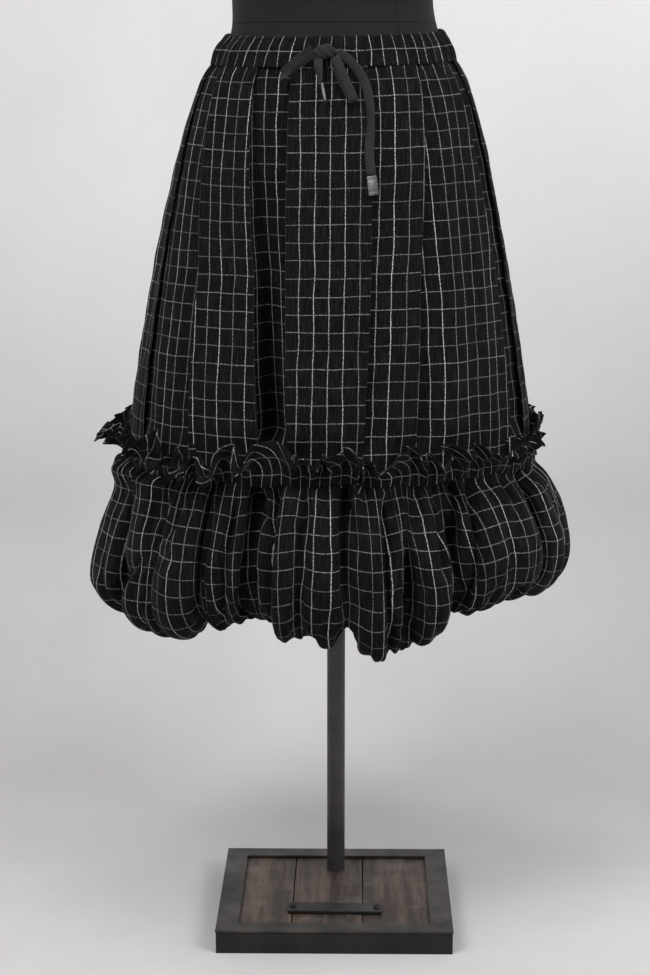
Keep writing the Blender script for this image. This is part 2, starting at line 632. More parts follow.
# %% Body panels
PANEL_COLUMNS = 16
BODY_ROWS = 110
TURN_RADIUS = 0.8
UNDERLAP = 9.0
BODY_TOP = 1009
SOFT_FOLDS = [  # angle high, angle low, height high, height low, width, how proud
    (-83, -79, 980, 640, 9, 2.2), (-70, -58, 960, 620, 12, 2.6), (-62, -52, 900, 560, 8, -1.8),
    (-50, -34, 985, 700, 10, -1.8), (-44, -30, 930, 560, 13, 2.4), (-38, -24, 800, 560, 8, -1.6),
    (-25, -15.5, 990, 760, 7, 1.6), (-6, -4, 990, 700, 12, -1.8), (1, 1.5, 930, 560, 15, 2.2),
    (7, 5, 985, 640, 8, -1.5), (24, 16, 985, 600, 8, -2.0), (30, 20, 960, 560, 10, 2.2),
    (47, 36, 985, 600, 11, 2.4), (54, 44, 960, 570, 9, -2.4), (58, 52, 900, 560, 11, 2.6),
    (69, 66, 960, 560, 7, -2.0), (81, 79, 985, 600, 9, 2.4), (86, 85, 900, 560, 7, -1.8),
    (98, 97, 980, 600, 10, 2.4), (114, 113, 960, 560, 12, -2.4), (121, 119, 985, 640, 9, 2.0),
    (135, 137, 985, 560, 13, 2.6), (153, 155, 985, 700, 8, 1.6), (170, 169, 960, 560, 14, 2.4),
    (178, 177, 985, 600, 9, -2.2), (186, 184, 930, 560, 11, 2.0), (204, 199, 985, 560, 13, -2.4),
    (213, 206, 960, 600, 9, 2.2), (228, 224, 985, 560, 12, 2.6), (248, 246, 960, 560, 10, -2.2),
    (262, 261, 985, 620, 8, 2.2),
]
SLIP = [0, 2.5, -1.5, 4, -3, 1.5, -2, 3, -1]  # how far each panel's pattern hangs low


def waist_gathers(turn, below_band):
    """Small gathers of the elastic, which run on from the band into the body."""
    return (np.sin(62 * turn + 1.7 * np.sin(5 * turn) - 0.03 * below_band)
            + 0.7 * np.sin(97 * turn + 2.1 * np.sin(9 * turn + 1) + 0.03 * below_band)
            + 0.6 * np.sin(31 * turn + 2 - 0.04 * below_band))


def relief(angle, height):
    """Soft folds and small gathers that the hanging cloth makes between its pleats."""
    out = np.zeros(np.broadcast(angle, height).shape)
    scale = millimetres_per_degree(angle, height)
    for high_angle, low_angle, high, low, width, proud in SOFT_FOLDS:
        share = np.clip((high - height) / (high - low), -0.2, 1.2)
        at = high_angle + (low_angle - high_angle) * share + 0.5 * np.sin(height / 41 + high_angle)
        window = ease(height, low - 40, low + 60) * (1 - ease(height, high - 50, high + 20))
        out += proud * window * np.exp(-(((angle - at) * scale / width) ** 2))
    turn = np.radians(angle)
    near_band = np.exp(-(((BAND_BOTTOM - height) / (40 + 16 * np.sin(9 * turn))) ** 2))
    out += (0.45 + 0.55 * ease(BAND_BOTTOM - height, 0, 14)) * near_band * waist_gathers(turn, BAND_BOTTOM - height)
    drift = np.sin(height / 57 + 9 * turn) * np.sin(23 * turn + height / 83)
    out += 0.7 * drift * ease(BAND_BOTTOM - height, 20, 120)
    crumple = np.sin(height / 13 + 31 * turn) * np.sin(height / 21 - 47 * turn + 1.3)
    side = ease(np.abs(np.sin(turn)), 0.85, 0.97)
    return out + 0.9 * side * crumple * ease(BAND_BOTTOM - height, 30, 120)


def body_half(name, folds, node):
    share = np.linspace(0, 1, BODY_ROWS)
    height = BODY_TOP - share * (BODY_TOP - TIER_SEAM)
    raise_by = EDGE_RAISE * (0.3 + 0.7 * ease(share, 0, 0.14))
    under_band = -1.7 * (1 - ease(BAND_BOTTOM + 1 - height, 0, 6))

    def fold_angle(fold):
        return np.interp(share, [0, 0.5, 1], fold[:3])

    def tuck(fold):
        return np.interp(share, [0, 1], fold[4:])

    def place(angle, level, layer=0.0):
        z = height + waist_lift(angle) * (1 - share)
        caught = 1 - ease(z, 579, 608)
        out = level + relief(angle, height) * (1 - caught)
        out = out * (1 - caught) + (seam_dip(angle) - 0.6 + layer) * caught
        return on_skirt(angle, z, out + under_band)

    columns, centres, spans = [], [], []
    for left, right in zip(folds[:-1], folds[1:]):
        start, end = fold_angle(left), fold_angle(right)
        width = (end - start) * millimetres_per_degree((start + end) / 2, height)
        first = len(columns)
        for across in np.linspace(0, 1, PANEL_COLUMNS):
            across = across - 0.035 * math.sin(2 * math.pi * across)
            level_left = raise_by if left[3] == "right" else -tuck(left)
            reach_left = RAISE_REACH if left[3] == "right" else TUCK_REACH
            level_right = raise_by if right[3] == "left" else -tuck(right)
            reach_right = RAISE_REACH if right[3] == "left" else TUCK_REACH
            level = level_left * fall(across * width, reach_left)
            level = level + level_right * fall((1 - across) * width, reach_right)
            layer = 0.9 * (across < 0.02) * (left[3] == "right") + 0.9 * (across > 0.98) * (right[3] == "left")
            columns.append(place(start + (end - start) * across, level, layer))
        spans.append((first, len(columns)))
        if right[3] == "none":
            continue
        side = 1 if right[3] == "left" else -1
        per_mm = 1 / millimetres_per_degree(end, height)
        low = -tuck(right)
        low = np.minimum(low, raise_by - 4 * TURN_RADIUS)
        middle = (raise_by - 2 * TURN_RADIUS + low) / 2
        bend = [(math.cos(t), math.sin(t)) for t in np.radians([50, 0, -50, -90])]
        stretch = [(side * TURN_RADIUS * x, raise_by - TURN_RADIUS + TURN_RADIUS * y, 0.6) for x, y in bend]
        stretch += [(-side * UNDERLAP * 0.5, (raise_by - 2 * TURN_RADIUS + middle) / 2, 0.0)]
        stretch += [(-side * UNDERLAP, middle + TURN_RADIUS * 0.4, 0.0)]
        stretch += [(-side * (UNDERLAP + TURN_RADIUS), middle, -0.4)]
        stretch += [(-side * UNDERLAP, middle - TURN_RADIUS * 0.4, -0.9)]
        stretch += [(-side * UNDERLAP * 0.5, (low + middle) / 2, -0.9)]
        if side < 0:
            stretch = stretch[::-1]
        for sideways, level, layer in stretch:
            columns.append(place(end + sideways * per_mm, level, layer))
    points = np.array(columns)

    right_of = distance_right(points)
    weft = np.full(right_of.shape, np.nan)
    warp_rows = distance_down(on_skirt(np.full((1, BODY_ROWS), 20.0), height[None], 0.0))[0]
    warp = np.repeat(warp_rows[None], len(points), axis=0)
    centre, before = 0.0, None
    for number, (first, last) in enumerate(spans):
        middle_run = (right_of[(first + last - 1) // 2] + right_of[(first + last) // 2]) / 2
        if before is not None:
            between_centres = (middle_run - before).max() + 4
            centre += between_centres
        before = middle_run
        weft[first:last] = centre + right_of[first:last] - middle_run
        warp[first:last] += SLIP[number]
    for (_, last), (first, _) in zip(spans[:-1], spans[1:]):
        steps = np.linspace(0, 1, first - last + 2)[1:-1, None]
        weft[last:first] = weft[last - 1] + (weft[first] - weft[last - 1]) * steps
        warp[last:first] = warp[last - 1] + (warp[first] - warp[last - 1]) * steps
    cloth_place = np.stack([weft, 1000 - warp], axis=-1) * MM
    piece = keep_mesh(name, cloth_mesh(name, points * MM, cloth_place), CLOTH, "checked_cloth", node)
    print(name, "cloth", round(np.ptp(weft)), "mm wide,", round(warp_rows[-1]), "mm long,",
          round(cloth_area(piece), 3), "square metres")
    return give_wall(piece, CLOTH_WALL)


front_folds = [fold for fold in BODY_FOLDS if fold[0] <= 90]
back_folds = [fold for fold in BODY_FOLDS if fold[0] >= 90]
body_front = body_half("skirt_body_front", front_folds, "body_front")
body_back = body_half("skirt_body_back", back_folds, "body_back")

# %% [markdown]
# ## The waistband
# The band is a strip folded over elastic. It is gathered, so it ripples, and its upper edge is
# a soft fold. The profile goes from its sewn lower edge up the outside, over the top and down
# the inside.

# %% Waistband
BAND_COLUMNS = 720
BAND_PROFILE = np.array([  # height over the band's lower edge, how far out
    (14, -5.2), (30.5, -3.4), (32.6, -1.6), (33, -0.4), (32.4, 0.9), (30, 1.5), (27, 1.6), (23, 2.1),
    (18, 1.7), (12, 1.3), (7, 0.8), (3, 0.35), (0.4, 0.05), (-0.8, -0.5), (-0.2, -1.2), (2, -1.8),
])
BAND_CLOTH = 985.0            # length of the flat strip


def waistband():
    angle = np.linspace(0, 360, BAND_COLUMNS + 1)[:, None]
    turn = np.radians(angle)
    run = np.linspace(0, 1, BAND_PROFILE.shape[0] * 2 - 1)
    rows = np.linspace(0, 1, BAND_PROFILE.shape[0])
    up, out = (np.interp(run, rows, BAND_PROFILE[:, k])[None] for k in (0, 1))
    middle = np.sin(np.pi * np.clip(up / 33, 0, 1))
    gathers = waist_gathers(turn, -up)
    lifted = 0.5 * np.sin(62 * turn + 1.7 * np.sin(5 * turn)) + 0.4 * np.sin(29 * turn + 1)
    out = out + gathers * (0.35 + 0.55 * middle)
    height = BAND_BOTTOM + up + waist_lift(angle) + lifted * ease(up, 15, 33)
    points = on_skirt(np.broadcast_to(angle, height.shape), height, out)
    points[-1] = points[0]
    profile = np.concatenate([[0], np.cumsum(np.hypot(*np.diff(np.stack([up[0], out[0]]), axis=1)))])
    weft = angle / 360 * BAND_CLOTH + 0.9 * np.sin(31 * turn + up / 9)
    top_line = 997.6
    cloth_place = np.stack([weft + 4.5, np.broadcast_to(top_line - profile, weft.shape)], axis=-1) * MM
    mesh = cloth_mesh("skirt_waistband", points * MM, cloth_place, closed=True)
    piece = keep_mesh("skirt_waistband", mesh, CLOTH, "checked_cloth", "waistband")
    print("waistband", round(cloth_area(piece), 4), "square metres, profile", round(profile[-1]), "mm")
    return give_wall(piece, CLOTH_WALL)


band = waistband()

# %% [markdown]
# ## The bubble tier
# The tier is a wide strip, gathered onto the body, puffed out, and turned under to a hidden
# hem. Rows of a table give its profile from the seam over the belly and under the hem. Deep
# valleys part its puffs. The cloth is first laid by formula, with a crease wherever a gather
# starts, and then Blender's Cloth settles it. Formulas alone look like a balloon, and Cloth
# alone doesn't know which puff hangs low, so each does its own half of the work.

# %% Tables of the tier, in millimetres and degrees
BUBBLE_ROWS = np.array([  # height, half width, half depth, share of a valley, share of the lift
    (550.2, 243.6, 222.6, 0, 0), (538, 254, 232.5, 0.45, 0), (515, 265.5, 244, 0.8, 0.05),
    (484, 277.5, 256, 1, 0.2), (450, 285, 264, 1, 0.45), (418, 285.5, 265.5, 0.95, 0.7),
    (392, 277, 257, 0.9, 0.9), (377, 261, 241.5, 0.75, 1), (375, 243, 224, 0.5, 1), (392, 226, 208, 0.2, 0.9),
])
BUBBLE_CENTRE = -7
BUBBLE_VALLEYS = [  # angle at the seam, at the hem, depth, hem lift, and the next puff's out and droop
    (-90, -90, 5, 20, 4, 2), (-67, -61, 19, 9, 4, 5), (-46, -46, 4, 2, 4, 4), (-31, -29, 9, 20, -3, -4),
    (-19.5, -18, 38, 26, 4, 8), (-5, -6.5, 6, 16, 4, 6), (4, 5, 16, 12, 2, 17), (19, 21, 12, 0, 0, 4),
    (31, 36, 32, 30, -2, 2), (46, 49, 5, 38, 2, 4), (64, 59, 13, 44, 0, 9), (77, 76, 6, 40, -3, 6),
    (90, 90, 4, 34, -1, 8), (105, 106, 12, 28, 2, 10), (119, 118, 6, 16, 3, 6), (133, 135, 18, 22, 0, 12),
    (149, 147, 7, 12, 3, 10), (162, 163, 22, 20, 2, 14), (178, 177, 6, 8, 4, 8), (193, 195, 15, 20, 0, 8),
    (208, 207, 8, 12, 3, 12), (222, 224, 20, 14, 2, 12), (239, 238, 6, 6, 4, 8), (254, 253, 12, 12, 4, 10),
    (270, 270, 5, 20, 5, 8),
]
PUFF_CROWN, HEM_DROP = 4, 10
TIER_CLOTH, BUBBLE_LONG = 1150.0, 230.0   # one half of the flat strip
CLOTH_GRID = 4.7              # the strip's squares
SLACK = 1.02                  # how much longer the strip is than the way it hangs
HELD_FOLD = 14.0              # folds deeper than this stay where they are laid

# Deep creases by hand: angle at the seam, middle and hem, where each starts and ends as a share
# of the way down, depth and width.
CREASES = [
    (-66, -64, -66, -0.1, 1.1, 9, 5), (-57, -58, -57, -0.1, 0.25, 7, 4), (-49, -49, -50, -0.1, 0.5, 7, 4),
    (-41, -40, -39, -0.1, 0.45, 6, 4), (-32, -30.5, -33, -0.1, 1.1, 12, 4),
    (-24, -24.5, -27, 0.12, 0.9, 10, 5), (-19.5, -20, -22, -0.1, 0.95, 8, 5),
    (-14, -14.5, -16, -0.1, 1.1, 12, 6), (-6, -6.5, -7, -0.1, 0.75, 7, 3), (-1, -1, -1, -0.1, 0.2, 6, 4),
    (4.3, 3.8, 4.5, -0.1, 0.6, 8, 4), (4, 4, 4.6, 0.62, 1.1, 16, 7), (9.5, 9, 9, -0.1, 0.3, 7, 4),
    (14.5, 14, 17, 0.05, 1.0, 12, 4.5), (19, 19.5, 20, 0.3, 0.85, 14, 7), (24, 23, 23, -0.1, 0.42, 8, 4),
    (30, 28, 28, -0.1, 0.55, 12, 4.5), (35, 32, 31, -0.1, 0.95, 10, 6), (41, 36.5, 34, -0.1, 0.8, 10, 6),
    (47, 44, 43, -0.1, 0.2, 6, 4), (53, 51, 52, 0.55, 1.1, 9, 5), (66, 62, 60, -0.1, 0.75, 10, 4.5),
    (72, 70, 69, -0.1, 0.35, 7, 4), (80, 79, 79, 0.5, 1.1, 10, 6), (99, 98, 97, -0.1, 0.6, 8, 4),
    (106, 106, 106, -0.1, 1.1, 12, 5), (113, 112, 113, -0.1, 0.35, 7, 4),
    (120, 119, 119, 0.1, 0.8, 9, 4.5), (129, 130, 131, -0.1, 0.95, 10, 5),
    (135, 136, 137, -0.1, 1.1, 10, 5), (142, 142, 141, -0.1, 0.3, 7, 4), (149, 148, 147, 0.4, 1.1, 10, 6),
    (158, 159, 160, -0.1, 1.1, 12, 6), (165, 165, 166, -0.1, 0.8, 10, 5),
    (172, 172, 171, -0.1, 0.3, 6, 4), (179, 178, 177, 0.0, 0.85, 9, 4.5),
    (188, 188, 189, -0.1, 0.5, 8, 4), (194, 195, 196, -0.1, 1.1, 12, 5), (202, 202, 202, -0.1, 0.3, 7, 4),
    (209, 208, 207, 0.1, 1.1, 9, 5), (218, 219, 220, -0.1, 0.9, 11, 5), (225, 225, 226, -0.1, 1.1, 11, 5),
    (233, 233, 232, -0.1, 0.35, 7, 4), (240, 239, 238, 0.05, 0.9, 9, 4.5),
    (248, 248, 247, -0.1, 0.4, 7, 4), (256, 255, 254, -0.1, 1.1, 11, 5), (263, 263, 263, -0.1, 0.5, 7, 4),
]
print("the tier has", len(BUBBLE_VALLEYS) - 1, "puffs and", len(CREASES), "creases by hand")


# %% Creases of the tier
def draw_gathers(seed, count, strip, length, depth, width, slant):
    """Random small gathers: where they start along the strip, and their sizes."""
    dice = np.random.default_rng(seed)
    return np.column_stack([
        (np.arange(count) + dice.uniform(-0.42, 0.42, count)) * strip / count,
        length[0] + (length[1] - length[0]) * dice.random(count) ** 2,
        dice.uniform(*depth, count), dice.uniform(*width, count), dice.normal(0, slant, count),
    ])


def press_gathers(gathers, along_strip, from_edge):
    """Depth of all gathers at each point of the cloth, sharp at their bottoms."""
    pressed = np.zeros(np.shape(from_edge))
    for start, length, depth, width, slant in gathers:
        away = along_strip - start - slant * from_edge
        strength = depth * np.exp(-((from_edge / length) ** 1.6)) * (0.5 + 0.5 * ease(from_edge, 0, 12))
        pressed += strength * np.exp(-np.sqrt(away**2 + 0.5) / width)
    return pressed


print("creases have their own length, depth and slant")


# %% The tier as it is laid
def puff_place(seam_angle, valleys, down_share):
    """Angle at each row, distances to the valleys on either side, and the two valleys' rows."""
    table = np.array(valleys, float)
    puff = np.clip(np.searchsorted(table[:, 0], seam_angle, side="right") - 1, 0, len(table) - 2)
    left, right = table[puff], table[puff + 1]
    across = ((seam_angle - left[:, 0]) / (right[:, 0] - left[:, 0]))[:, None]
    start = left[:, :1] + (left[:, 1:2] - left[:, :1]) * down_share
    end = right[:, :1] + (right[:, 1:2] - right[:, :1]) * down_share
    return start + (end - start) * across, across, end - start, left, right


def seam_wander(angle, points):
    """How the stitched seam strays from a level line, the same for tier and frill."""
    turn = np.radians(angle)
    up = 2.2 * np.sin(9 * turn + 1) + 1.6 * np.sin(23 * turn) + 0.8 * np.sin(57 * turn + 2)
    inwards = 1.5 * np.sin(71 * turn + 1.5 * np.sin(11 * turn)) + 0.9 * np.sin(113 * turn + 1)
    towards = -points / np.linalg.norm(points[..., :2], axis=-1)[..., None]
    towards[..., 2] = 0
    return towards * inwards[..., None] + np.array([0, 0, 1.0]) * up[..., None]


def laid_tier(seam_angle, valleys, run, seed):
    """Points of the tier before it settles, the distance down from the seam, and how deep its folds are."""
    table = np.column_stack([np.arange(len(BUBBLE_ROWS)), BUBBLE_ROWS])
    height, half_width, half_depth, share, lift = (smooth_column(table, k, run)[None] for k in range(1, 6))
    share, lift = np.clip(share, 0, 1), np.clip(lift, 0, 1)
    down_share = (run / (len(BUBBLE_ROWS) - 1))[None]
    first, last = valleys[0][0], valleys[-1][0]
    angle, across, wide, left, right = puff_place(seam_angle, valleys, down_share)
    per_degree = math.pi / 360 * (half_width + half_depth)

    def sunk(distance):
        return np.exp(-(np.sqrt(distance**2 + 9) - 3) / 14)

    valley = left[:, 2:3] * sunk(across * wide * per_degree) + right[:, 2:3] * sunk((1 - across) * wide * per_degree)
    swell = np.sin(np.pi * across)
    crown = (PUFF_CROWN + left[:, 4:5]) * swell**0.8
    hem = left[:, 3:4] + (right[:, 3:4] - left[:, 3:4]) * across - left[:, 5:6] * swell - HEM_DROP
    turn = np.radians(angle)
    on_left, on_right = ease(-np.sin(turn), 0.5, 1), ease(np.sin(turn), 0.5, 1)
    early = np.exp(-(((down_share - 0.09) / 0.08) ** 2))
    middle = np.sin(np.pi * np.clip(down_share / 0.62, 0, 1))
    slim = on_left * (12 * early - 15 * middle) - on_right * 14 * early
    out = share * (crown - valley) + seam_dip(angle) * (1 - share) + slim * ease(down_share, 0, 0.05)
    base = on_ellipse(half_width, half_depth, BUBBLE_CENTRE, angle, height + lift * hem, out)
    down = distance_down(base)
    from_hem = down[:, -1:] - down

    creased = np.zeros(out.shape)
    for top, bend, bottom, begins, ends, depth, width in CREASES:
        track = np.interp(down_share[0], [0, 0.45, 0.9], [top, bend, bottom])[None]
        away = (angle - track) * per_degree
        strength = ease(down_share, begins, begins + 0.12) * (1 - ease(down_share, ends - 0.25, ends))
        creased += 3.1 * depth * strength * np.exp(-np.sqrt(away**2 + 2) / (0.65 * width))
    pressed = creased.copy()
    strip = (last - first) * math.pi * 275 / 180
    along_strip = (seam_angle[:, None] - first) / (last - first) * strip + np.zeros(out.shape)
    for edge, gathers in ((down, draw_gathers(seed, 74, strip, (14, 80), (9, 16), (1.8, 3.0), 0.14)),
                          (from_hem, draw_gathers(seed + 1, 60, strip, (50, 110), (9, 16), (2.2, 3.8), 0.25))):
        pressed += press_gathers(gathers, along_strip, edge)
    pressed -= pressed.mean(axis=0, keepdims=True) * 0.7
    pressed *= ease(down, -2, 7) * ease(from_hem, -2, 7)
    right_way, down_way = np.gradient(base, axis=0), np.gradient(base, axis=1)
    normal = np.cross(down_way, right_way)
    normal /= np.linalg.norm(normal, axis=2)[..., None]
    free = ease(np.minimum(seam_angle - first, last - seam_angle), 0, 1.2)[:, None, None]
    points = base - normal * pressed[..., None] * free
    points = points + seam_wander(angle, base) * (1 - ease(down, 0, 14))[..., None] * free
    folds = np.maximum(creased, 0.75 * valley * share)
    return points, down, folds


print("the tier's flat strip is twice", TIER_CLOTH, "mm long")

# %% [markdown]
# ## Letting cloth settle
# The Cloth modifier keeps the lengths that the cloth is laid with. Its pins are the stitched edges and the
# bottoms of the deep folds. Its forces are a little gravity, and for the tier a soft pressure
# from within, as of the air there. A few frames are enough, then the last one is kept as a
# plain mesh and the modifier goes.

# %% Settling
SETTLE_STIFFNESS = {"tension_stiffness": 120, "compression_stiffness": 120, "shear_stiffness": 30,
                    "bending_stiffness": 0.008, "tension_damping": 10, "compression_damping": 10,
                    "shear_damping": 10, "bending_damping": 0.5}


def grid_numbers(columns, lines):
    """The point number at each column and row of a grid, rows counted downwards."""
    bm = bmesh.new()
    bmesh.ops.create_grid(bm, x_segments=columns - 1, y_segments=lines - 1, size=1)
    place = np.array([vert.co[:2] for vert in bm.verts])
    bm.free()
    numbers = np.empty((columns, lines), int)
    column = np.rint((place[:, 0] + 1) / 2 * (columns - 1)).astype(int)
    row = np.rint((1 - place[:, 1]) / 2 * (lines - 1)).astype(int)
    numbers[column, row] = np.arange(len(place))
    return numbers


def settle(piece, pins, frames, gravity, puff=0.0):
    """Lets the laid cloth settle, then adds one subdivision and the wall."""
    piece.vertex_groups.new(name="stitched").add(np.unique(pins).tolist(), 1.0, "REPLACE")
    cloth = piece.modifiers.new("cloth", "CLOTH")
    cloth.settings.vertex_group_mass = "stitched"
    cloth.settings.quality = 6
    cloth.settings.mass = 0.01
    cloth.settings.air_damping = 2
    cloth.settings.effector_weights.gravity = gravity
    cloth.settings.use_pressure = puff != 0
    cloth.settings.uniform_pressure_force = puff
    for name, value in SETTLE_STIFFNESS.items():
        setattr(cloth.settings, name, value)
    cloth.collision_settings.use_collision = False
    cloth.collision_settings.use_self_collision = True
    cloth.collision_settings.self_distance_min = 0.0016
    for number in range(1, frames + 1):
        bpy.context.scene.frame_set(number)
    settled = bpy.data.meshes.new_from_object(piece.evaluated_get(bpy.context.evaluated_depsgraph_get()))
    piece.modifiers.clear()
    piece.vertex_groups.clear()
    piece.data = settled
    settled.name = piece.name
    settled.shade_smooth()
    bpy.context.scene.frame_set(1)
    finer = piece.modifiers.new("finer", "SUBSURF")
    finer.levels = finer.render_levels = 1
    print(piece.name, "settled,", round(cloth_area(piece), 3), "square metres")
    return give_wall(piece, CLOTH_WALL)


# %% Bubble halves
def evenly_on_cloth(angles, points, count):
    """Angles whose points lie evenly along the cloth of one row."""
    run = np.concatenate([[0], np.cumsum(np.linalg.norm(np.diff(points, axis=0), axis=1))])
    return np.interp(np.linspace(0, run[-1], count), run, angles)


def bubble_half(name, valleys, seed, node):
    columns, lines = int(TIER_CLOTH / CLOTH_GRID) + 1, int(BUBBLE_LONG / CLOTH_GRID) + 1
    table = np.column_stack([np.arange(len(BUBBLE_ROWS)), BUBBLE_ROWS])
    fine = np.linspace(0, len(BUBBLE_ROWS) - 1, 800)
    profile = np.column_stack([smooth_column(table, k, fine) for k in (1, 2)])
    length = np.concatenate([[0], np.cumsum(np.linalg.norm(np.diff(profile, axis=0), axis=1))])
    run = np.interp(np.linspace(0, length[-1], lines), length, fine)
    many = np.linspace(valleys[0][0], valleys[-1][0], 3000)
    trial, *_ = laid_tier(many, valleys, run, seed)
    seam_angle = sum(evenly_on_cloth(many, trial[:, int(share * lines)], columns) for share in (0.2, 0.5)) / 2
    points, down, folds = laid_tier(seam_angle, valleys, run, seed)

    weft = np.repeat(np.linspace(0, TIER_CLOTH, columns)[:, None], lines, axis=1)
    local = np.convolve(np.pad(down[:, -1], 12, mode="edge"), np.ones(25) / 25, mode="valid")[:, None]
    warp = 407 + BUBBLE_LONG - np.linspace(0, 1, lines)[None] * local * SLACK
    cloth_place = np.stack([weft, warp], axis=-1) * MM
    piece = keep_mesh(name, cloth_mesh(name, points * MM, cloth_place), CLOTH, "checked_cloth", node)
    print(name, "laid", round(cloth_area(piece), 3), "of a cut of",
          round(TIER_CLOTH * float(np.mean(local)) * SLACK / 1e6, 3), "square metres")

    numbers = grid_numbers(columns, lines)
    pins = [numbers[0], numbers[-1], numbers[:, 0], numbers[:, -1], numbers[folds > HELD_FOLD]]
    return settle(piece, np.concatenate(pins), frames=16, gravity=0.5, puff=0.55)


front_valleys = [valley for valley in BUBBLE_VALLEYS if valley[0] <= 90]
back_valleys = [valley for valley in BUBBLE_VALLEYS if valley[0] >= 90]
bubble_front = bubble_half("skirt_bubble_front", front_valleys, 11, "bubble_front")
bubble_back = bubble_half("skirt_bubble_back", back_valleys, 41, "bubble_back")

# %% [markdown]
# ## The frill
# The tier's upper edge stands free above its gathering line. Each column of the grid is a
# strip of the same length, hinged at the seam: it leans out by its own angle, and sways
# sideways, so that the free edge winds in and out. Some places flop right over. The points of
# its free edge are slid along it, or the check would be drawn wide where a flop spreads the
# cloth. Then it settles like the tier, held only by its seam.

# %% Frill halves
FRILL_WAVES = 50
FRILL_HIGH = 50.0
FRILL_LINES = 13
FLOPS = [  # angle, spread in degrees, how far its edge bends down, in degrees, extra length
    (-84, 5, 140, 5), (-76, 3, 34, 3), (-69, 3, 50, 0), (-60, 2.5, 60, 0), (-52, 3, -12, 3), (-45, 2.4, 76, 0),
    (-36.5, 2.6, 105, 2), (-30.5, 2.2, 85, 0), (-22, 3, 30, 2), (-14, 3, -10, 2), (-6, 2.5, 40, 0), (1.5, 3, -8, 1),
    (8.5, 2.6, 112, 2), (13.5, 2, 60, 0), (20, 3, -6, 2), (29, 3, 56, 0), (37, 2.5, 20, 1), (46, 3, 66, 0),
    (55, 3, -8, 2), (64, 3, 24, 0), (73, 2.5, 4, 2), (81, 3, -10, 0), (88, 3, -24, 4), (96, 3, 20, 0),
    (107, 3, 0, 2), (117, 3, 60, 0), (128, 3, -10, 3), (139, 2.5, 90, 0), (150, 3, 20, 0), (160, 3, -8, 2),
    (171, 2.5, 70, 0), (182, 3, 10, 2), (194, 3, 50, 0), (205, 2.5, -10, 2), (216, 2.5, 95, 0), (228, 3, 16, 0),
    (238, 3, 56, 0), (249, 3, -8, 3), (259, 3, 66, 0),
]


def stay_outside(piece):
    """Moves points of the frill out of the body behind it."""
    place = np.empty(len(piece.data.vertices) * 3)
    piece.data.vertices.foreach_get("co", place)
    place = place.reshape(-1, 3) / MM
    half_width, half_depth, centre = (smooth_column(SKIRT_SECTIONS, k, place[:, 2]) for k in (1, 2, 3))
    across, along = place[:, 0] - centre, place[:, 1]
    angle = np.degrees(np.arctan2(across / half_width, -along / half_depth))
    dip = seam_dip(angle % 360) + seam_dip(angle % 360 - 360)
    grown = np.clip((1 + (dip + 1.2) / 230) / np.hypot(across / half_width, along / half_depth), 1, 1.1)
    place[:, 0], place[:, 1] = centre + across * grown, along * grown
    piece.data.vertices.foreach_set("co", (place * MM).ravel())
    print(piece.name, "had", int(np.sum(grown > 1)), "points moved out of the body")


def spread_evenly(points):
    """Slides the points of each row along it, most at the free edge, until they lie more evenly."""
    for row, share in enumerate(np.linspace(0.75, 0, points.shape[1])):
        run = np.concatenate([[0], np.cumsum(np.linalg.norm(np.diff(points[:, row], axis=0), axis=1))])
        wanted = run + share * (np.linspace(0, run[-1], len(run)) - run)
        points[:, row] = np.column_stack([np.interp(wanted, run, points[:, row, axis]) for axis in range(3)])
    return points


